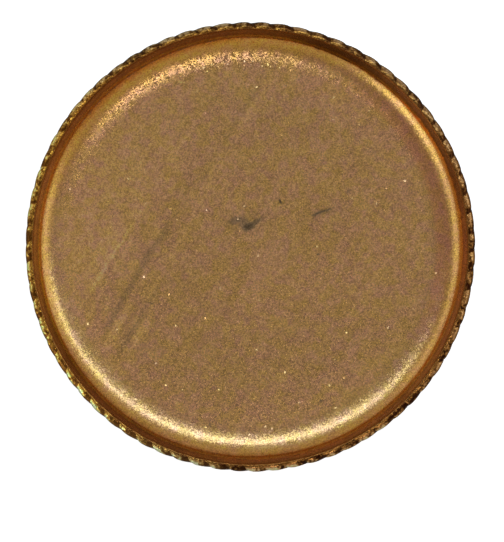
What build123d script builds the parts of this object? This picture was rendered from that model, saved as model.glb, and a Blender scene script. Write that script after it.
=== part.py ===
from build123d import *
from math import cos, radians, sin, sqrt
import os

# Bezel cup setting for a round flat-backed stone. It is one piece of sheet brass: a disc drawn into
# a shallow cup, whose rim is then coined with a rope edge. Lengths are in millimetres, angles in
# degrees. The back lies on the plane z = 0, centred on the origin, and the cup opens towards +Z.

# Stone and pocket
STONE_DIAMETER = 25.0
STONE_CLEARANCE = 0.15

# Sheet and height
SHEET_THICKNESS = 0.35
CUP_HEIGHT = 3.2

# Inside of the cup, from the flat floor outwards: a wide easing arc, a tighter corner arc up to a
# crease, a wall that leans out a little, and an upright land under the lip
EASING_RADIUS = 3.5
EASING_TURN = 15.5
CORNER_RADIUS = 1.92
CREASE_TURN = 45.0
WALL_LEAN_OUT = 0.38
LAND_BELOW_ROPE = 0.53

# Rope edge: a round bead along the rim, with slanting grooves that part it into strands
ROPE_THICKNESS = 0.64
ROPE_STAND_OUT = 0.12
STRAND_COUNT = 72
STRAND_LAY_ANGLE = 70.0
GROOVE_RADIUS = 0.3
GROOVE_DEPTH = 0.18
GROOVE_PLACE_ANGLE = 25.0

# Sizes that follow from them
pocket_radius = STONE_DIAMETER / 2 + STONE_CLEARANCE
wall_radius = pocket_radius + SHEET_THICKNESS
rope_radius = ROPE_THICKNESS / 2
rope_ring_radius = wall_radius + ROPE_STAND_OUT - rope_radius
rope_ring_height = CUP_HEIGHT - rope_radius
land_bottom = rope_ring_height - LAND_BELOW_ROPE
crease_radius = pocket_radius - WALL_LEAN_OUT
easing_reach = EASING_RADIUS * sin(radians(EASING_TURN))
corner_reach = CORNER_RADIUS * (sin(radians(CREASE_TURN)) - sin(radians(EASING_TURN)))
flat_radius = crease_radius - corner_reach - easing_reach


def pocket_section():
    """Half section of the room inside the cup: x is the radius, y the height."""
    easing_centre = Vector(flat_radius, SHEET_THICKNESS + EASING_RADIUS)
    turn = radians(EASING_TURN - 90)
    corner_centre = easing_centre + Vector(cos(turn), sin(turn)) * (EASING_RADIUS - CORNER_RADIUS)
    easing = CenterArc(easing_centre, EASING_RADIUS, -90, EASING_TURN)
    corner = CenterArc(corner_centre, CORNER_RADIUS, EASING_TURN - 90, CREASE_TURN - EASING_TURN)
    walls = Polyline(
        corner @ 1,
        (pocket_radius, land_bottom),
        (pocket_radius, CUP_HEIGHT),
        (0, CUP_HEIGHT),
        (0, SHEET_THICKNESS),
        (flat_radius, SHEET_THICKNESS),
    )
    return make_face(easing + corner + walls)


def smooth_cup():
    """The drawn cup with a smooth round bead along its rim, before the rope is coined."""
    pocket = pocket_section()
    below_rope = Pos(wall_radius / 2, rope_ring_height / 2) * Rectangle(wall_radius, rope_ring_height)
    shell = offset(pocket, SHEET_THICKNESS, kind=Kind.ARC) & below_rope
    bead = Pos(rope_ring_radius, rope_ring_height) * Circle(rope_radius)
    section = Rot(90, 0, 0) * (shell + bead - pocket)
    return revolve(section, Axis.Z, 360)


def groove_cutter():
    """Round bar that coins one groove, laid slantwise against the outside top of the bead.

    The groove's middle faces outwards and up, GROOVE_PLACE_ANGLE above level. Along the groove the
    way goes round the cup, counter-clockwise from above, and down the outside of the bead.
    """
    place = radians(GROOVE_PLACE_ANGLE)
    lay = radians(STRAND_LAY_ANGLE)
    facing = Vector(cos(place), 0, sin(place))
    down_the_bead = Vector(sin(place), 0, -cos(place))
    along_the_rim = Vector(0, 1, 0)
    direction = along_the_rim * cos(lay) + down_the_bead * sin(lay)
    bead_centre = Vector(rope_ring_radius, 0, rope_ring_height)
    bar_centre = bead_centre + facing * (rope_radius - GROOVE_DEPTH + GROOVE_RADIUS)
    bar_length = 2 * (rope_radius + GROOVE_RADIUS) / sin(lay)
    return Plane(origin=bar_centre, z_dir=direction) * Cylinder(GROOVE_RADIUS, bar_length)


def bezel_cup():
    """The finished cup: one sheet of brass with its rope edge."""
    cutter = groove_cutter()
    turn = 360 / STRAND_COUNT
    return smooth_cup().cut(*[Rot(0, 0, turn * strand) * cutter for strand in range(STRAND_COUNT)])


cup = bezel_cup()
cup.label = "bezel_cup"
os.makedirs("parts", exist_ok=True)
export_step(cup, "parts/bezel_cup.step")

# Where the pocket's upright land begins and ends, for the record
lip_offset = pocket_radius - rope_ring_radius
land_top = rope_ring_height + sqrt(rope_radius**2 - lip_offset**2)
print(f"pocket radius {pocket_radius:.3f}, upright land from {land_bottom:.3f} to {land_top:.3f}")
print(f"flat floor radius {flat_radius:.3f}, volume {cup.volume:.2f}")
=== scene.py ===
import bpy
from math import acos, atan2, cos, degrees, pi, radians, sin, tan
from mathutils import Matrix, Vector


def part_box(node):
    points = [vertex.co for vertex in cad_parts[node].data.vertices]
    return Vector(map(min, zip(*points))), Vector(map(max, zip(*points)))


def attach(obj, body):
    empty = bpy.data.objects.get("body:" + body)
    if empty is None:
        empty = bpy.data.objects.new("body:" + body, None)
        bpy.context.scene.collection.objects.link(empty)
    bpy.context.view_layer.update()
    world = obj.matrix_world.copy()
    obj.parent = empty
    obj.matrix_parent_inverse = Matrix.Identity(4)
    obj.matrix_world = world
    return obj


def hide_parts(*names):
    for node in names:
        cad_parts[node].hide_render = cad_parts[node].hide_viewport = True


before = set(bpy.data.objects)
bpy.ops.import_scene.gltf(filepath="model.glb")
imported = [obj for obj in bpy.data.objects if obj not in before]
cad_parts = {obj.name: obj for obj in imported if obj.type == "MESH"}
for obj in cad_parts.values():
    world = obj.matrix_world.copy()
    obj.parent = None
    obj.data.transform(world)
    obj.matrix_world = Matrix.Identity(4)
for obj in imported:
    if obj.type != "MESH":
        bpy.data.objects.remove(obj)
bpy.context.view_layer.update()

# The drawn cup, with its rope edge.
# One disc of sheet brass, pressed into a shallow round cup with a soft inner corner and a steep wall.
# The rim is then coined between two dies into a rope of slanting strands. It is never plated.
MM = 0.001
outer_radius, _, cup_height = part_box("bezel_cup")[1]
sheet = 0.35 * MM
rope_stand_out = 0.12 * MM
rope_radius = 0.32 * MM
pocket_radius = outer_radius - rope_stand_out - sheet
rope_ring_radius = outer_radius - rope_radius
rope_ring_height = cup_height - rope_radius

# The inner corner, from the flat floor: a shallow easing arc, a tighter arc up to the crease, and then
# the steep wall, which leans out a little up to the upright land under the rope.
crease_radius = pocket_radius - 0.38 * MM
crease_turn = 45
easing_turn = 15.5
easing_radius = 3.5 * MM
corner_radius = 1.92 * MM
land_height = 0.53 * MM
wall_steps = 8

# The strands. Their grooves start, are full deep from and to, and end at these places round the rope's
# section, in degrees from straight outwards up to the top.
strand_count = 72
steps_per_strand = 12
strand_lay = radians(70)
groove_depth = 0.17 * MM
groove_start = -45
groove_full_from = 0
groove_full_to = 66
groove_end = 112

# The rope's section, and over how many degrees its finish fades in from below and out towards the lip
rope_steps = 36
finish_fade_below = 30
finish_fade_lip = 25


def arc(centre, radius, start, end, steps):
    """Points of an arc in the half section, start and end left in: (radius from the axis, height)."""
    turns = [radians(start + (end - start) * i / steps) for i in range(steps + 1)]
    return [(centre[0] + radius * cos(a), centre[1] + radius * sin(a)) for a in turns]


def run(start, end, steps):
    """Points of a straight run in the half section, without its start."""
    shares = [(i + 1) / steps for i in range(steps)]
    return [tuple(a + (b - a) * share for a, b in zip(start, end)) for share in shares]


def pocket_line():
    """The inside of the cup from the edge of the flat floor up to the land, and the two arcs' centres."""
    rise = sin(radians(easing_turn)), cos(radians(easing_turn))
    corner_reach = corner_radius * (sin(radians(crease_turn)) - rise[0])
    flat = crease_radius - corner_reach - easing_radius * rise[0]
    easing = (flat, sheet + easing_radius)
    corner = (
        easing[0] + (easing_radius - corner_radius) * rise[0],
        easing[1] - (easing_radius - corner_radius) * rise[1],
    )
    line = arc(easing, easing_radius, -90, easing_turn - 90, 8)
    line += arc(corner, corner_radius, easing_turn - 90, crease_turn - 90, 16)[1:]
    line += run(line[-1], (pocket_radius, rope_ring_height - land_height), wall_steps)
    return line, easing, corner


def half_section():
    """The cup's half section, from the middle of the back, round the rope, to the middle of the floor.

    Each row is the radius, the height, how deep the strands' grooves are there, how far round the cup
    the strands have wound by there, how much of the rope's finish it has, and whether it is inside.
    """
    pocket, easing, corner = pocket_line()
    crease, land = pocket[-wall_steps - 1], pocket[-1]
    wall_turn = degrees(atan2(land[1] - crease[1], land[0] - crease[0]))
    rings = [pocket[0][0] * share for share in (0.0, 0.3, 0.6, 0.85, 0.97)]
    rope = (rope_ring_radius, rope_ring_height)
    under = -degrees(acos((outer_radius - rope_stand_out - rope[0]) / rope_radius))
    lip = degrees(acos((pocket_radius - rope[0]) / rope_radius))

    plain = [(r, 0.0) for r in rings]
    plain += arc(easing, easing_radius + sheet, -90, easing_turn - 90, 5)
    plain += arc(corner, corner_radius + sheet, easing_turn - 90, crease_turn - 90, 6)[1:]
    plain += arc(crease, sheet, crease_turn - 90, wall_turn - 90, 3)[1:]
    plain += arc(land, sheet, wall_turn - 90, 0, 2)
    rows = [(r, z, 0.0, 0.0, 0.0, 0.0) for r, z in plain]

    wind_per_degree = radians(1) * rope_radius / tan(strand_lay) / rope_ring_radius
    for i, (r, z) in enumerate(arc(rope, rope_radius, under, lip, rope_steps)):
        place = under + (lip - under) * i / rope_steps
        rising = (place - groove_start) / (groove_full_from - groove_start)
        falling = (groove_end - place) / (groove_end - groove_full_to)
        share = max(0.0, min(1.0, rising, falling))
        finish = min(1.0, (place - under) / finish_fade_below, (lip - place) / finish_fade_lip)
        rows.append((r, z, share, -(place - under) * wind_per_degree, finish, i / rope_steps))

    wound = rows[-1][3]
    inside = run(rows[-1][:2], pocket[-1], 3) + pocket[-2::-1]
    inside += [(r, sheet) for r in reversed(rings)]
    return rows + [(r, z, 0.0, wound, 0.0, 1.0) for r, z in inside]


def section_object(rows):
    """The half section as a line mesh, measured from the rope's own centre line."""
    mesh = bpy.data.meshes.new("cup_section")
    points = [(row[0] - rope_ring_radius, rope_ring_height - row[1], 0.0) for row in rows]
    mesh.from_pydata(points, [(i, i + 1) for i in range(len(points) - 1)], [])
    for name, column in (("rope_share", 2), ("wound", 3), ("rope_finish", 4), ("inside", 5)):
        layer = mesh.attributes.new(name, "FLOAT", "POINT")
        for item, row in zip(layer.data, rows):
            item.value = row[column]
    section = bpy.data.objects.new("bezel_cup_brass", mesh)
    bpy.context.scene.collection.objects.link(section)
    return section


def way(azimuth):
    """The level direction at an azimuth in degrees, counter-clockwise from +X."""
    return (cos(radians(azimuth)), sin(radians(azimuth)), 0.0)


def feed(tree, socket, value):
    """Sets an input socket to a value, or links another node's output to it."""
    if isinstance(value, bpy.types.NodeSocket):
        tree.links.new(value, socket)
    elif socket.type == "RGBA":
        socket.default_value = (*value, 1.0)
    else:
        socket.default_value = value


def add(tree, kind, inputs=None, **settings):
    """Adds a node; inputs maps a socket's name or number to a value or to another node's output."""
    node = tree.nodes.new(kind)
    for name, value in settings.items():
        setattr(node, name, value)
    for key, value in (inputs or {}).items():
        feed(tree, node.inputs[key], value)
    return node


def maths(tree, operation, *values, clamp=False):
    """A Math node's output."""
    inputs = dict(enumerate(values))
    return add(tree, "ShaderNodeMath", inputs, operation=operation, use_clamp=clamp).outputs[0]


def product(tree, first, *others):
    """Several numbers multiplied together."""
    for other in others:
        first = maths(tree, "MULTIPLY", first, other)
    return first


def vector_maths(tree, operation, first, second=None, scale=None):
    """A Vector Math node's output, which is a number for a length, a distance or a dot product."""
    inputs = {0: first}
    if second is not None:
        inputs[1] = second
    if scale is not None:
        inputs["Scale"] = scale
    outputs = add(tree, "ShaderNodeVectorMath", inputs, operation=operation).outputs
    return outputs["Value" if operation in ("LENGTH", "DISTANCE", "DOT_PRODUCT") else "Vector"]


def eased(tree, value, start, end, low_end=0.0, high_end=1.0):
    """A value eased from low_end to high_end while it goes from start to end."""
    inputs = {"Value": value, "From Min": start, "From Max": end, "To Min": low_end, "To Max": high_end}
    return add(tree, "ShaderNodeMapRange", inputs, interpolation_type="SMOOTHSTEP").outputs[0]


def fading(tree, value, start, end):
    """A mask that eases out while the value goes from start to end."""
    return eased(tree, value, start, end, 1.0, 0.0)


def noise(tree, place, scale, detail=3.0):
    """A Noise Texture's outputs: a number about a half, and a colour."""
    inputs = {"Vector": place, "Scale": scale, "Detail": detail}
    return add(tree, "ShaderNodeTexNoise", inputs).outputs


def sockets(tree, inputs, outputs):
    """Names a node tree's sockets, and gives those of its group input and output nodes."""
    for names, side in ((inputs, "INPUT"), (outputs, "OUTPUT")):
        for name, kind in names.items():
            tree.interface.new_socket(name, in_out=side, socket_type="NodeSocket" + kind)
    return tree.nodes.new("NodeGroupInput").outputs, tree.nodes.new("NodeGroupOutput").inputs


def rope_cup_tree():
    """Geometry Nodes that spin the half section round the rope's centre line and coin the strands."""
    tree = bpy.data.node_groups.new("Rope edged cup", "GeometryNodeTree")
    given, result = sockets(
        tree,
        {
            "Section": "Geometry",
            "Ring Radius": "Float",
            "Ring Height": "Float",
            "Rope Radius": "Float",
            "Groove Depth": "Float",
            "Groove Sharpness": "Float",
            "Strand Lean": "Float",
            "Unevenness": "Float",
            "Flattening": "Float",
            "Wear Depth": "Float",
            "Worn Side": "Vector",
            "Side Wear": "Float",
            "Strand Count": "Int",
            "Steps per Strand": "Int",
            "Seed": "Int",
            "Metal": "Material",
        },
        {"Cup": "Geometry"},
    )

    def store(geometry, name, value):
        inputs = {"Geometry": geometry, "Name": name, "Value": value}
        kind = "GeometryNodeStoreNamedAttribute"
        return add(tree, kind, inputs, data_type="FLOAT", domain="POINT").outputs[0]

    def stored(name):
        return add(tree, "GeometryNodeInputNamedAttribute", {"Name": name}, data_type="FLOAT").outputs[0]

    # Spin the section round a ring whose points are numbered in strands
    steps = product(tree, given["Strand Count"], given["Steps per Strand"])
    ring_inputs = {"Resolution": steps, "Radius": given["Ring Radius"]}
    ring = add(tree, "GeometryNodeCurvePrimitiveCircle", ring_inputs)
    index = tree.nodes.new("GeometryNodeInputIndex").outputs[0]
    marked = store(ring.outputs[0], "strand", maths(tree, "DIVIDE", index, given["Steps per Strand"]))
    line = add(tree, "GeometryNodeMeshToCurve", {0: given["Section"]})
    spun = add(tree, "GeometryNodeCurveToMesh", {"Curve": marked, "Profile Curve": line.outputs[0]})

    # Across a strand, from one groove to the next, with the crest a little to one side
    across = maths(tree, "POWER", maths(tree, "FRACT", stored("strand")), given["Strand Lean"])
    from_crest = maths(tree, "ABSOLUTE", maths(tree, "MULTIPLY_ADD", across, 2.0, -1.0))
    valley = maths(tree, "POWER", from_crest, given["Groove Sharpness"])
    crest = maths(tree, "SUBTRACT", 1.0, valley)
    which = add(tree, "FunctionNodeFloatToInt", {0: stored("strand")}, rounding_mode="FLOOR").outputs[0]

    def drawn(lowest, highest, turn):
        """A number drawn for each strand; turn sets each draw apart."""
        seed = maths(tree, "ADD", given["Seed"], turn)
        inputs = {2: lowest, 3: highest, "ID": which, "Seed": seed}
        return add(tree, "FunctionNodeRandomValue", inputs, data_type="FLOAT").outputs[1]

    # Each groove is cut less deep on some strands, and less on the two sides where the rim is worn
    position = tree.nodes.new("GeometryNodeInputPosition").outputs[0]
    outward = vector_maths(tree, "NORMALIZE", vector_maths(tree, "MULTIPLY", position, (1.0, 1.0, 0.0)))
    along_worn = maths(tree, "ABSOLUTE", vector_maths(tree, "DOT_PRODUCT", outward, given["Worn Side"]))
    side_wear = product(tree, eased(tree, along_worn, 0.3, 1.0), given["Side Wear"])
    cut = product(tree, valley, drawn(maths(tree, "SUBTRACT", 1.0, given["Unevenness"]), 1.0, 0))
    cut = product(tree, cut, maths(tree, "SUBTRACT", 1.0, side_wear))
    pressed = maths(tree, "MULTIPLY_ADD", crest, drawn(0.0, given["Flattening"], 1), cut)
    kept = store(spun.outputs[0], "groove", product(tree, cut, stored("rope_share")))
    kept = store(kept, "strand_tone", drawn(0.0, 1.0, 2))
    kept = store(kept, "strand_side", maths(tree, "MULTIPLY_ADD", across, -2.0, 1.0))

    # Press the rope's skin towards its centre line, and wind the strands round the cup
    centre = vector_maths(tree, "SCALE", outward, scale=given["Ring Radius"])
    from_centre = vector_maths(tree, "SUBTRACT", position, centre)
    wear_scale = 3.2 / MM
    worn = product(tree, noise(tree, position, wear_scale, 1.0)[0], given["Wear Depth"])
    depth = maths(tree, "MULTIPLY_ADD", pressed, given["Groove Depth"], worn)
    depth = product(tree, depth, stored("rope_share"))
    share = maths(tree, "SUBTRACT", 1.0, maths(tree, "DIVIDE", depth, given["Rope Radius"]))
    coined = vector_maths(tree, "ADD", centre, vector_maths(tree, "SCALE", from_centre, scale=share))
    turned = {"Vector": coined, "Angle": stored("wound")}
    wound = add(tree, "ShaderNodeVectorRotate", turned, rotation_type="Z_AXIS").outputs[0]
    lift = add(tree, "ShaderNodeCombineXYZ", {"Z": given["Ring Height"]}).outputs[0]
    placed = add(tree, "GeometryNodeSetPosition", {"Geometry": kept, "Position": wound, "Offset": lift})

    # Close the two poles, and turn the faces outwards
    closed = add(tree, "GeometryNodeMergeByDistance", {"Geometry": placed.outputs[0], "Distance": 1e-7})
    outwards = add(tree, "GeometryNodeFlipFaces", {"Mesh": closed.outputs[0]})
    smooth = add(tree, "GeometryNodeSetShadeSmooth", {"Geometry": outwards.outputs[0]})
    real = add(tree, "GeometryNodeRealizeInstances", {"Geometry": smooth.outputs[0]})
    metal = add(tree, "GeometryNodeSetMaterial", {"Geometry": real.outputs[0], "Material": given["Metal"]})
    tree.links.new(metal.outputs[0], result["Cup"])
    return tree


def with_tree(piece, tree, values):
    """Gives the piece the tree as a modifier, sets its named inputs, and returns the plain mesh."""
    modifier = piece.modifiers.new(tree.name, "NODES")
    modifier.node_group = tree
    for item in tree.interface.items_tree:
        if item.in_out == "INPUT" and item.name in values:
            modifier[item.identifier] = values[item.name]
    evaluated = piece.evaluated_get(bpy.context.evaluated_depsgraph_get())
    return bpy.data.meshes.new_from_object(evaluated)


# Where the photograph's pixels lie on the cup: its middle, the rope's outer edge, and how far up the
# camera is, because the floor lies lower than the rope.
cup_middle_px = (249.87, 246.31)
cup_radius_px = 225.3
camera_height = 400 * MM
rope_scale = outer_radius / cup_radius_px
floor_scale = rope_scale * (camera_height - sheet) / (camera_height - rope_ring_height)


def on_floor(pixel):
    """The place on the floor, in millimetres, that a pixel of the photograph shows."""
    across = (pixel[0] - cup_middle_px[0]) * floor_scale / MM
    up = (cup_middle_px[1] - pixel[1]) * floor_scale / MM
    return (across, up, sheet / MM)


def mark_group():
    """A soft mark along a straight line, full in its middle and fading to its ends and sides."""
    tree = bpy.data.node_groups.new("Mark", "ShaderNodeTree")
    given, result = sockets(
        tree,
        {"Place": "Vector", "Start": "Vector", "End": "Vector", "Half Width": "Float", "Strength": "Float"},
        {"Mask": "Float"},
    )
    way_along = vector_maths(tree, "SUBTRACT", given["End"], given["Start"])
    from_start = vector_maths(tree, "SUBTRACT", given["Place"], given["Start"])
    shadow = vector_maths(tree, "DOT_PRODUCT", from_start, way_along)
    length = vector_maths(tree, "DOT_PRODUCT", way_along, way_along)
    along = maths(tree, "DIVIDE", shadow, length, clamp=True)
    nearest = vector_maths(tree, "SCALE", way_along, scale=along)
    distance = vector_maths(tree, "DISTANCE", from_start, nearest)
    body = fading(tree, maths(tree, "DIVIDE", distance, given["Half Width"]), 0.25, 1.0)
    from_middle = maths(tree, "ABSOLUTE", maths(tree, "MULTIPLY_ADD", along, 2.0, -1.0))
    ends = eased(tree, from_middle, 0.4, 1.15, 1.0, 0.25)
    tree.links.new(product(tree, body, ends, given["Strength"]), result["Mask"])
    return tree


def dot_group():
    """A small round mark, full in its middle."""
    tree = bpy.data.node_groups.new("Dot", "ShaderNodeTree")
    given, result = sockets(
        tree,
        {"Place": "Vector", "Middle": "Vector", "Reach": "Float", "Strength": "Float"},
        {"Mask": "Float"},
    )
    distance = vector_maths(tree, "DISTANCE", given["Place"], given["Middle"])
    tree.links.new(eased(tree, distance, given["Reach"], 0.0, 0.0, given["Strength"]), result["Mask"])
    return tree


def facet_group():
    """Small flat grains, each tilted its own way. Share is how many of them there are, up to 1."""
    tree = bpy.data.node_groups.new("Facets", "ShaderNodeTree")
    given, result = sockets(
        tree,
        {"Place": "Vector", "Size": "Float", "Tilt": "Float", "Share": "Float"},
        {"Lean": "Vector"},
    )
    scale = maths(tree, "DIVIDE", 1.0, given["Size"])
    cells = add(tree, "ShaderNodeTexVoronoi", {"Vector": given["Place"], "Scale": scale}).outputs
    draw = add(tree, "ShaderNodeTexWhiteNoise", {"Vector": cells["Position"]}).outputs["Value"]
    taken = maths(tree, "LESS_THAN", draw, given["Share"])
    centred = vector_maths(tree, "SUBTRACT", cells["Color"], (0.5, 0.5, 0.5))
    tilt = product(tree, taken, given["Tilt"], 2.0)
    tree.links.new(vector_maths(tree, "SCALE", centred, scale=tilt), result["Lean"])
    return tree


def placed_group(tree, group, inputs):
    """The outputs of a group's node in a tree."""
    return add(tree, "ShaderNodeGroup", inputs, node_tree=group).outputs


def mixed_colour(tree, share, first, second, blend="MIX"):
    """A Mix node's colour; the share runs from the first colour to the second."""
    inputs = {0: share, 6: first, 7: second}
    return add(tree, "ShaderNodeMix", inputs, data_type="RGBA", blend_type=blend).outputs[2]


def tinted(tree, share, colour, tint):
    """A colour multiplied by a tint, as far as the share says."""
    return mixed_colour(tree, share, colour, tint, blend="MULTIPLY")


# Marks on the floor, by the pixels that show them. A line has its half width and a dot its reach, in
# millimetres. Dark lines and pits take light away, bright lines add it, and specks shine.
dark_lines = (
    # start, end, half width, strength
    ((100, 340), (147, 254), 0.30, 0.19),
    ((140, 266), (171, 222), 0.36, 0.16),
    ((112, 362), (148, 308), 0.24, 0.15),
    ((165, 308), (203, 258), 0.50, 0.05),
    ((266, 70), (226, 136), 0.30, 0.11),
    ((230, 130), (192, 196), 0.40, 0.07),
    ((150, 385), (390, 330), 4.0, 0.05),
    ((115, 352), (165, 275), 0.20, 0.12),
    ((206, 150), (150, 250), 0.30, 0.06),
    ((227, 223), (243, 217), 0.26, 0.26),
    ((240, 220), (251, 228), 0.40, 0.26),
    ((243, 229), (263, 217), 0.26, 0.34),
    ((225, 222), (268, 218), 0.80, 0.10),
    ((312, 215), (332, 208), 0.10, 0.46),
    ((309, 216), (336, 208), 0.30, 0.12),
    ((279, 198), (280, 203), 0.10, 0.62),
)
bright_lines = (
    # start, end, half width, strength
    ((145, 206), (98, 276), 0.13, 0.22),
    ((108, 258), (92, 292), 0.26, 0.22),
    ((131, 302), (104, 350), 0.24, 0.24),
    ((152, 306), (128, 352), 0.20, 0.16),
    ((150, 110), (84, 295), 3.6, 0.13),
    ((122, 215), (84, 285), 1.60, 0.06),
    ((212, 95), (78, 310), 0.12, 0.13),
    ((265, 86), (112, 360), 0.16, 0.12),
    ((175, 284), (134, 344), 0.16, 0.13),
    ((147, 135), (172, 153), 0.12, 0.10),
    ((271, 74), (236, 132), 0.20, 0.14),
    ((222, 150), (196, 200), 0.24, 0.08),
    ((178, 81), (190, 82), 0.08, 0.60),
    ((196, 92), (199, 86), 0.07, 0.40),
)
pits = (
    # middle, reach, strength
    ((348, 191), 0.20, 0.35),
    ((320, 400), 0.20, 0.40),
    ((318, 254), 0.14, 0.45),
    ((152, 302), 0.17, 0.35),
    ((246, 318), 0.20, 0.25),
    ((209, 424), 0.18, 0.40),
)
specks = (
    # middle, reach, strength
    ((143, 276), 0.14, 1.0),
    ((106, 297), 0.12, 0.6),
    ((285, 372), 0.14, 0.9),
    ((335, 358), 0.10, 0.5),
    ((305, 333), 0.10, 0.6),
    ((286, 333), 0.10, 0.6),
    ((182, 390), 0.12, 0.7),
    ((210, 420), 0.12, 0.7),
    ((271, 427), 0.11, 0.6),
    ((364, 302), 0.10, 0.5),
    ((207, 209), 0.11, 0.7),
    ((244, 205), 0.11, 0.7),
    ((316, 246), 0.11, 0.6),
    ((308, 246), 0.09, 0.5),
)

# The radii that the colours below change at, in millimetres
crease_mm = crease_radius / MM
pocket_mm = pocket_radius / MM
ring_mm = rope_ring_radius / MM

# How the wall's colour is painted lighter or darker from side to side, as painted light and shade with a
# little
# change of hue: an azimuth, how near to it the change starts and is full, as the cosine of the angle
# between, and the tint that multiplies the colour.
wall_light_and_shade_sides = (
    # azimuth, starts, full, tint
    (47, 0.66, 0.96, (0.25, 0.21, 0.20)),
    (8, 0.90, 0.985, (0.85, 0.70, 0.62)),
    (150, 0.75, 0.99, (1.30, 1.36, 1.45)),
    (75, 0.60, 0.95, (0.95, 0.92, 1.0)),
    (193, 0.85, 0.99, (0.86, 0.90, 0.56)),
    (218, 0.80, 0.99, (0.78, 0.70, 0.72)),
    (120, 0.80, 0.98, (0.86, 0.86, 1.0)),
    (335, 0.70, 0.98, (1.10, 1.18, 1.30)),
)

# The same for the rope, as painted light and shade: it is palest at the lower left and darkest at the upper
# right
rope_light_and_shade_sides = (
    # azimuth, starts, full, tint
    (186, 0.40, 0.97, (1.80, 1.60, 0.90)),
    (232, 0.80, 0.98, (1.80, 2.05, 2.05)),
    (50, 0.50, 0.95, (0.82, 0.68, 0.62)),
    (325, 0.20, 0.90, (1.09, 0.86, 0.72)),
)

# How far the edges of the rope's bright ring of wear and painted highlight, and of the wall's darker colour,
# lie further in on one side, in millimetres. A minus is further out.
rub_and_highlight_inner_shifts = (
    # azimuth, starts, full, shift
    (5, 0.75, 0.97, 0.11),
    (88, 0.60, 0.97, -0.05),
)
rub_and_highlight_outer_shifts = (
    # azimuth, starts, full, shift
    (12, 0.45, 0.90, 0.12),
    (72, 0.60, 0.95, -0.06),
    (250, 0.60, 0.95, -0.05),
)
dark_wall_edge_shifts = (
    # azimuth, starts, full, shift
    (122, 0.70, 0.95, 0.04),
    (62, 0.85, 0.98, 0.04),
    (12, 0.75, 0.97, -0.10),
)

# Painted shade that creeps down from the crease, by how far in from it that starts and is full, in
# millimetres
crease_painted_shade = (
    # starts, full, side, tint
    (0.40, 0.02, (120, 0.84, 0.96), (0.72, 0.56, 0.44)),
    (0.34, 0.04, (248, 0.64, 0.90), (0.78, 0.69, 0.66)),
)

# Rings of another tint on the corner and the floor's edge. A ring is the radii in millimetres where it
# starts, is full, begins to fade and is gone. The last one would fade past the rope, so it never does. The
# second and third are painted light: they lighten the outer flank of the corner's highlight at the bottom,
# and the floor's edge towards the upper left.
corner_tints = (
    # ring, side, tint
    ((10.7, 11.1, 11.6, 11.85), (15, 0.60, 0.95), (1.13, 0.95, 1.06)),
    ((11.62, 11.78, 11.80, 11.95), (294, 0.82, 0.98), (1.14, 1.22, 1.25)),
    ((9.0, 9.9, 10.6, 11.1), (135, -0.80, 0.20), (1.06, 1.04, 1.05)),
    ((11.0, 11.8, 14.0, 15.0), (113, 0.50, 0.90), (1.17, 1.10, 0.80)),
)


class Spot:
    """A spot of the cup, as its material's nodes see it.

    It has its place and its distance from the axis, both in millimetres, and the level way outwards.
    """

    def __init__(self, tree):
        self.tree = tree
        place = add(tree, "ShaderNodeTexCoord").outputs["Object"]
        self.place = vector_maths(tree, "SCALE", place, scale=1 / MM)
        level = vector_maths(tree, "MULTIPLY", self.place, (1.0, 1.0, 0.0))
        self.radius = vector_maths(tree, "LENGTH", level)
        self.outward = vector_maths(tree, "NORMALIZE", level)

    def noise(self, scale, detail=3.0):
        """A smoothly varying number about a half, with so many waves a millimetre."""
        return noise(self.tree, self.place, scale, detail)[0]

    def attribute(self, name):
        """A number that is stored on the mesh."""
        return add(self.tree, "ShaderNodeAttribute", attribute_name=name).outputs["Fac"]

    def beside(self, azimuth, starts, full):
        """A mask for one side, between two cosines of the angle from an azimuth."""
        nearness = vector_maths(self.tree, "DOT_PRODUCT", self.outward, way(azimuth))
        return eased(self.tree, nearness, starts, full)

    def ring(self, starts, full, fades, gone, beyond=0.0):
        """A mask for a ring between four radii, which are counted from another radius, beyond."""
        rising = eased(self.tree, self.radius, beyond + starts, beyond + full)
        return product(self.tree, rising, fading(self.tree, self.radius, beyond + fades, beyond + gone))

    def shifted(self, radius, shifts):
        """A radius with a shift added to it on some sides."""
        for azimuth, starts, full, shift in shifts:
            side = self.beside(azimuth, starts, full)
            radius = maths(self.tree, "MULTIPLY_ADD", side, shift, radius)
        return radius

    def tinted_sides(self, colour, sides):
        """A colour that is tinted on some sides."""
        for azimuth, starts, full, tint in sides:
            colour = tinted(self.tree, self.beside(azimuth, starts, full), colour, tint)
        return colour


def clean_brass(spot):
    """The colour of clean brass, a little olive here and a little purple there."""
    tree = spot.tree
    olive, clean, purple = (0.71, 0.394, 0.106), (0.72, 0.376, 0.136), (0.72, 0.35, 0.178)
    colour = mixed_colour(tree, eased(tree, spot.noise(1.6, 2.5), 0.38, 0.62), olive, purple)
    return mixed_colour(tree, eased(tree, spot.noise(2.6), 0.3, 0.7, 0.1, 0.8), colour, clean)


def grain(spot):
    """How light the sheet's grain is, with its rolling lines, which run up to the right."""
    tree = spot.tree
    grains = eased(tree, spot.noise(13.0), 0.25, 0.75, 0.60, 1.40)
    along_lines = {"Vector": spot.place, "Rotation": (0.0, 0.0, radians(59.0)), "Scale": (8.0, 0.33, 8.0)}
    rolled = add(tree, "ShaderNodeMapping", along_lines, vector_type="TEXTURE").outputs[0]
    return product(tree, grains, eased(tree, noise(tree, rolled, 1.0)[0], 0.3, 0.7, 0.95, 1.05))


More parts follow.
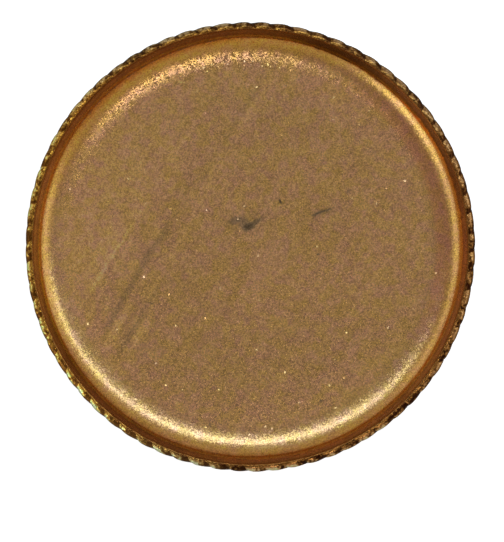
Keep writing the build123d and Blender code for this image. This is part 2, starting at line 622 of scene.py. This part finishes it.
def floor_marks(spot):
    """The masks of the dark marks, the bright lines and the specks, all a little ragged."""
    tree = spot.tree
    shift = vector_maths(tree, "SUBTRACT", noise(tree, spot.place, 1.7)[1], (0.5, 0.5, 0.5))
    ragged = vector_maths(tree, "ADD", spot.place, vector_maths(tree, "SCALE", shift, scale=0.35))
    line_mark, dot_mark = mark_group(), dot_group()

    def line(start, end, half_width, strength):
        ends = {"Start": on_floor(start), "End": on_floor(end)}
        sizes = {"Half Width": half_width, "Strength": strength}
        return placed_group(tree, line_mark, {"Place": ragged, **ends, **sizes})["Mask"]

    def dot(middle, reach, strength):
        values = {"Middle": on_floor(middle), "Reach": reach, "Strength": strength}
        return placed_group(tree, dot_mark, {"Place": ragged, **values})["Mask"]

    def summed(masks):
        total = 0.0
        for mask in masks:
            total = maths(tree, "ADD", mask, total)
        return total

    dark = summed([line(*row) for row in dark_lines] + [dot(*row) for row in pits])
    return dark, summed(line(*row) for row in bright_lines), summed(dot(*row) for row in specks)


def rope_brass(spot):
    """The rope's colour: crests worn bright and painted with highlights, grooves dark and partly painted
    shade.
    """
    tree = spot.tree
    shade, tone, rubbed_highlight_brass = (0.40, 0.205, 0.048), (0.50, 0.27, 0.085), (0.82, 0.56, 0.265)
    brown_groove, shaded_black_groove = (0.11, 0.042, 0.012), (0.050, 0.016, 0.006)

    # Dark by fits and starts: in the grooves, partly tarnish and partly painted shade, and on some strands
    # more than on others. Painted shade also darkens the side of a strand that faces the lower right of the
    # picture, and the grooves at the lower right are painted black.
    dark = maths(tree, "MULTIPLY_ADD", spot.noise(4.5, 4.0), 2.6, -1.25)
    dark = maths(tree, "MULTIPLY_ADD", spot.attribute("groove"), 0.8, dark)
    dark = maths(tree, "ADD", dark, maths(tree, "MULTIPLY_ADD", spot.attribute("strand_tone"), 0.6, -0.28))
    upper_right = vector_maths(tree, "DOT_PRODUCT", spot.outward, (0.5, 0.5, 0.0))
    one_sided_shade = product(tree, upper_right, spot.attribute("strand_side"))
    dark = maths(tree, "MULTIPLY_ADD", one_sided_shade, 0.9, dark)
    groove_and_shade_colour = mixed_colour(tree, spot.beside(315, 0.2, 0.9), brown_groove, shaded_black_groove)
    colour = mixed_colour(tree, eased(tree, dark, 0.0, 0.5), shade, groove_and_shade_colour)

    # Worn bright in a ring along the crests: partly wear and partly a painted highlight
    inner_edge = eased(tree, spot.shifted(spot.radius, rub_and_highlight_inner_shifts), ring_mm - 0.02, ring_mm + 0.07)
    outer_edge = fading(tree, spot.shifted(spot.radius, rub_and_highlight_outer_shifts), ring_mm + 0.25, ring_mm + 0.33)
    rubbed_and_highlit = product(tree, inner_edge, outer_edge, fading(tree, dark, -0.15, 0.2))
    outer_share = eased(tree, spot.radius, ring_mm + 0.04, ring_mm + 0.20)
    worn = mixed_colour(tree, outer_share, tone, rubbed_highlight_brass)
    # Painted light: the worn ring is lighter at the bottom of the picture
    worn = tinted(tree, spot.beside(288, 0.75, 0.97), worn, (1.5, 1.5, 1.6))
    return spot.tinted_sides(mixed_colour(tree, rubbed_and_highlit, colour, worn), rope_light_and_shade_sides)


def with_corner_stains_and_painted_light(spot, colour, reach):
    """A colour with the stains of the corner and the floor's edge, and with painted shade and light there.
    """
    tree = spot.tree
    for starts, full, side, tint in crease_painted_shade:
        creeping_shade = eased(tree, reach, crease_mm - starts, crease_mm - full)
        colour = tinted(tree, product(tree, creeping_shade, spot.beside(*side)), colour, tint)

    # A painted highlight: a narrow golden gleam at the foot of the wall, at the right
    gleam = product(tree, spot.ring(-0.02, 0.02, 0.06, 0.15, beyond=crease_mm), spot.beside(6, 0.86, 0.97))
    colour = mixed_colour(tree, gleam, colour, (1.0, 0.80, 0.33))
    for ring, side, tint in corner_tints:
        colour = tinted(tree, product(tree, spot.ring(*ring), spot.beside(*side)), colour, tint)
    return colour


def wall_brass(spot):
    """The wall's colour: a mottled dull brown with painted light and shade, painted pale at its foot, ruddy
    on the lip.
    """
    tree = spot.tree
    deep, thin, lip = (0.24, 0.12, 0.095), (0.60, 0.34, 0.155), (0.29, 0.098, 0.02)
    palest = (0.98, 0.66, 0.29)
    mottle = maths(tree, "SUBTRACT", spot.noise(1.4), 0.8)
    mottle = maths(tree, "MULTIPLY_ADD", spot.noise(9.0), 1.6, mottle)
    colour = spot.tinted_sides(mixed_colour(tree, mottle, deep, thin), wall_light_and_shade_sides)

    # Painted light: lighter half way up the wall at the bottom of the picture, and far lighter at its foot
    # all round, most at the upper right
    half_way = spot.ring(0.05, 0.14, 0.20, 0.34, beyond=crease_mm)
    half_way = product(tree, half_way, spot.beside(285, 0.86, 0.985))
    colour = tinted(tree, half_way, colour, (1.45, 1.40, 1.55))
    foot = spot.ring(-0.02, 0.09, 0.03, 0.18, beyond=crease_mm)
    colour = tinted(tree, foot, colour, (2.55, 5.3, 3.6))
    colour = tinted(tree, product(tree, foot, spot.beside(42, 0.6, 0.95)), colour, (2.0, 1.9, 1.4))
    colour = vector_maths(tree, "MINIMUM", colour, palest)
    return mixed_colour(tree, eased(tree, spot.radius, pocket_mm - 0.03, pocket_mm + 0.01), colour, lip)


def cup_colour(spot, rope, dark):
    """The colour of the whole cup: brass with its marks, the rope, and the stains, darker wall and painted
    light inside.
    """
    tree = spot.tree
    smudge, corner_warmth = (0.60, 0.365, 0.18), (1.23, 1.185, 0.87)
    warm_from, warm_full = 11.5, 11.95
    colour = mixed_colour(tree, eased(tree, dark, 0.0, 0.6), clean_brass(spot), smudge)
    warm = vector_maths(tree, "MULTIPLY", colour, corner_warmth)
    colour = mixed_colour(tree, eased(tree, spot.radius, warm_from, warm_full), colour, warm)
    outside = mixed_colour(tree, rope, colour, rope_brass(spot))

    # The wall's darker colour ends in a ragged edge a little above the crease
    ragged = maths(tree, "MULTIPLY_ADD", spot.noise(2.2), 0.24, -0.12)
    reach = spot.shifted(maths(tree, "ADD", spot.radius, ragged), dark_wall_edge_shifts)
    above_crease = eased(tree, reach, crease_mm - 0.03, crease_mm + 0.08)
    on_wall = product(tree, above_crease, fading(tree, spot.radius, pocket_mm + 0.03, pocket_mm + 0.12))
    inside = mixed_colour(tree, on_wall, with_corner_stains_and_painted_light(spot, outside, reach), wall_brass(spot))
    return mixed_colour(tree, eased(tree, spot.attribute("inside"), 0.6, 0.9), outside, inside)


def relief(spot, rope, burrs):
    """The way that the surface faces: its small grains, the specks, and soft dents, most on the rope."""
    tree = spot.tree
    facets = facet_group()

    # A patch of coarse bright grains lies on the corner at the top, and is narrower at its left
    patch = product(
        tree,
        spot.beside(106, 0.87, 0.95),
        eased(tree, spot.shifted(spot.radius, ((132, 0.85, 0.99, -0.45),)), 10.35, 10.75),
        fading(tree, spot.radius, 11.42, 11.65),
    )
    share = maths(tree, "MULTIPLY_ADD", patch, 0.34, 0.003)
    fine = placed_group(tree, facets, {"Place": spot.place, "Size": 0.075, "Tilt": 0.042, "Share": 1.0})
    coarse = placed_group(tree, facets, {"Place": spot.place, "Size": 0.10, "Tilt": 0.28, "Share": share})
    lean = vector_maths(tree, "ADD", fine["Lean"], coarse["Lean"])

    # The specks are burrs that lean towards the long tube
    lean = vector_maths(tree, "ADD", lean, vector_maths(tree, "SCALE", (0.06, 0.3, 0.0), scale=burrs))
    normal = add(tree, "ShaderNodeNewGeometry").outputs["Normal"]
    tilted = vector_maths(tree, "NORMALIZE", vector_maths(tree, "ADD", normal, lean))
    dents = product(tree, spot.noise(6.0), maths(tree, "MULTIPLY_ADD", rope, 5.0, 1.0))
    bump = {"Strength": 0.5, "Distance": 0.012 * MM, "Height": dents, "Normal": tilted}
    return add(tree, "ShaderNodeBump", bump).outputs[0]


def raw_brass():
    """Raw sheet brass, lightly aged: fine grain, a few bright grains, drawing streaks, stains, and painted
    light and shade.
    """
    metal = bpy.data.materials.new("raw_brass")
    metal.use_nodes = True
    tree = metal.node_tree
    shader = tree.nodes["Principled BSDF"]
    shader.inputs["Metallic"].default_value = 1.0
    shader.inputs["Specular Tint"].default_value = (0.85, 0.77, 0.66, 1.0)

    spot = Spot(tree)
    rope = eased(tree, spot.attribute("rope_finish"), 0.0, 0.6)
    dark, bright, burrs = floor_marks(spot)
    darkened = maths(tree, "SUBTRACT", 1.0, dark, clamp=True)
    light = product(tree, grain(spot), darkened, maths(tree, "ADD", 1.0, bright))
    colour = vector_maths(tree, "SCALE", cup_colour(spot, rope, dark), scale=light)
    tree.links.new(colour, shader.inputs["Base Color"])

    sheet_rough = eased(tree, spot.noise(1.3), 0.3, 0.7, 0.245, 0.28)
    rough = product(tree, sheet_rough, maths(tree, "MULTIPLY_ADD", rope, -0.35, 1.0))
    tree.links.new(rough, shader.inputs["Roughness"])
    tree.links.new(relief(spot, rope, burrs), shader.inputs["Normal"])
    return metal


brass = raw_brass()
cup = section_object(half_section())
spun_mesh = with_tree(cup, rope_cup_tree(), {
    "Ring Radius": rope_ring_radius,
    "Ring Height": rope_ring_height,
    "Rope Radius": rope_radius,
    "Groove Depth": groove_depth,
    "Groove Sharpness": 2.4,
    "Strand Lean": 0.85,
    "Unevenness": 0.45,
    "Flattening": 0.12,
    "Wear Depth": 0.02 * MM,
    "Worn Side": way(-8),
    "Side Wear": 0.5,
    "Strand Count": strand_count,
    "Steps per Strand": steps_per_strand,
    "Seed": 4,
    "Metal": brass,
})
cup.modifiers.clear()
cup.data = spun_mesh
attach(cup, "root")
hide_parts("bezel_cup")

# The pale board that the cup lies on. It is no part of the cup. It is a hair lower than the cup's
# back, and clear from underneath, so that the back can be seen.
board_reach = 0.6
board_height = -0.01 * MM
board_corners = ((-1, -1), (1, -1), (1, 1), (-1, 1))
board_mesh = bpy.data.meshes.new("board")
points = [(x * board_reach, y * board_reach, board_height) for x, y in board_corners]
board_mesh.from_pydata(points, [], [(0, 1, 2, 3)])
board = bpy.data.objects.new("board", board_mesh)
bpy.context.scene.collection.objects.link(board)
card = bpy.data.materials.new("white_card")
card.use_nodes = True
tree = card.node_tree
paper = tree.nodes["Principled BSDF"]
paper.inputs["Base Color"].default_value = (0.85, 0.85, 0.85, 1.0)
paper.inputs["Roughness"].default_value = 0.9
paper.inputs["Emission Color"].default_value = (1.0, 1.0, 1.0, 1.0)
paper.inputs["Emission Strength"].default_value = 0.78

# The camera sees it as glowing paper, and the brass as a plain pale board that gives no light. It is
# clear to rays from below, and to those that set out from the cup's back, a hair above it.
clear_within = 0.1 * MM
rays = add(tree, "ShaderNodeLightPath").outputs
plain = add(tree, "ShaderNodeBsdfDiffuse", {"Color": (0.62, 0.62, 0.62)})
pale = add(tree, "ShaderNodeMixShader", {0: rays["Is Camera Ray"], 1: plain.outputs[0], 2: paper.outputs[0]})
from_cup_back = maths(tree, "LESS_THAN", rays["Ray Length"], clear_within)
from_below = add(tree, "ShaderNodeNewGeometry").outputs["Backfacing"]
unseen = maths(tree, "MAXIMUM", from_below, from_cup_back)
clear = tree.nodes.new("ShaderNodeBsdfTransparent")
faces = add(tree, "ShaderNodeMixShader", {0: unseen, 1: pale.outputs[0], 2: clear.outputs[0]})
tree.links.new(faces.outputs[0], tree.nodes["Material Output"].inputs["Surface"])
board_mesh.materials.append(card)

# The lamps: a long tube in three lengths beyond the top of the picture, a soft panel nearer its bottom
# and four low strips round the sides, over a dim surround. An overhead lamp's slope is where its
# middle is and its reach how large it is, both in metres across for each metre up.
lamp_height = 0.3
strip_distance = 0.5
tube_colour = (0.77, 1.13, 1.54)
panel_colour = (0.94, 1.06, 1.22)
strip_colour = (0.86, 1.05, 1.28)
overhead_lamps = (
    # name, slope, reach, spin, brightness, colour
    ("tube", (0.115, 0.57), (0.67, 0.30), 0, 3.2, tube_colour),
    ("tube_left", (-0.445, 0.58), (0.45, 0.30), 0, 2.65, tube_colour),
    ("tube_right", (0.98, 0.47), (1.07, 0.30), -12, 2.1, tube_colour),
    ("soft_panel", (0.145, -0.375), (0.36, 0.12), -24, 4.7, panel_colour),
)
low_strips = (
    # name, azimuth, elevation, size, brightness
    ("low_strip", 219, 21, (0.24, 0.17), 1.4),
    ("low_strip_far", 191, 20, (0.26, 0.17), 0.6),
    ("low_strip_left", 158, 20, (0.36, 0.15), 0.41),
    ("low_strip_right", 0, 21, (0.34, 0.19), 0.49),
)


def lamp_at(name, place, size, brightness, colour):
    """A rectangular lamp, whose face is as bright whatever its size."""
    light = bpy.data.lights.new(name, "AREA")
    light.shape = "RECTANGLE"
    light.size, light.size_y = size
    light.energy = brightness * pi * size[0] * size[1]
    light.color = colour
    lamp = bpy.data.objects.new(name, light)
    bpy.context.scene.collection.objects.link(lamp)
    lamp.location = place
    return lamp


for name, slope, reach, spin, brightness, colour in overhead_lamps:
    place = (slope[0] * lamp_height, slope[1] * lamp_height, lamp_height)
    size = (reach[0] * lamp_height, reach[1] * lamp_height)
    lamp = lamp_at(name, place, size, brightness, colour)
    lamp.rotation_euler.z = radians(spin)
for name, azimuth, elevation, size, brightness in low_strips:
    level = [strip_distance * cos(radians(elevation)) * part for part in way(azimuth)[:2]]
    place = (*level, strip_distance * sin(radians(elevation)))
    lamp = lamp_at(name, place, size, brightness, strip_colour)
    lamp.rotation_euler = (-lamp.location).to_track_quat("-Z", "Y").to_euler()

# The surround, dimmer towards one side, and brighter near the level of the board
surround_strength = 0.316
dim_strength = 0.246
level_gain = 1.3
dim_azimuth = 202
dim_from_top = radians(48)
world = bpy.data.worlds.new("surround")
bpy.context.scene.world = world
world.use_nodes = True
sky = world.node_tree
background = sky.nodes["Background"]
background.inputs["Color"].default_value = (1.0, 1.0, 1.0, 1.0)
towards = add(sky, "ShaderNodeTexCoord").outputs["Generated"]
dim_side = (*[sin(dim_from_top) * part for part in way(dim_azimuth)[:2]], cos(dim_from_top))
nearness = vector_maths(sky, "DOT_PRODUCT", towards, dim_side)
strength = eased(sky, nearness, 0.55, 0.97, surround_strength, dim_strength)
height = add(sky, "ShaderNodeSeparateXYZ", {0: towards}).outputs["Z"]
strength = product(sky, strength, eased(sky, height, 0.15, 0.65, level_gain, 1.0))
sky.links.new(strength, background.inputs["Strength"])

# The camera looks straight down, as the photograph does. The picture is 504 by 542 pixels, and the
# cup's edge is a circle in it.
picture_height_px = 542
picture_middle_px = (251.5, 270.5)
sensor_height = 36.0
camera_data = bpy.data.cameras.new("camera")
camera_data.sensor_fit = "VERTICAL"
camera_data.sensor_height = sensor_height
camera_data.lens = sensor_height * (camera_height - rope_ring_height) / (picture_height_px * rope_scale)
camera = bpy.data.objects.new("camera", camera_data)
bpy.context.scene.collection.objects.link(camera)
camera.location = (
    (picture_middle_px[0] - cup_middle_px[0]) * rope_scale,
    (cup_middle_px[1] - picture_middle_px[1]) * rope_scale,
    camera_height,
)
bpy.context.scene.camera = camera
bpy.context.scene.view_settings.view_transform = "Standard"
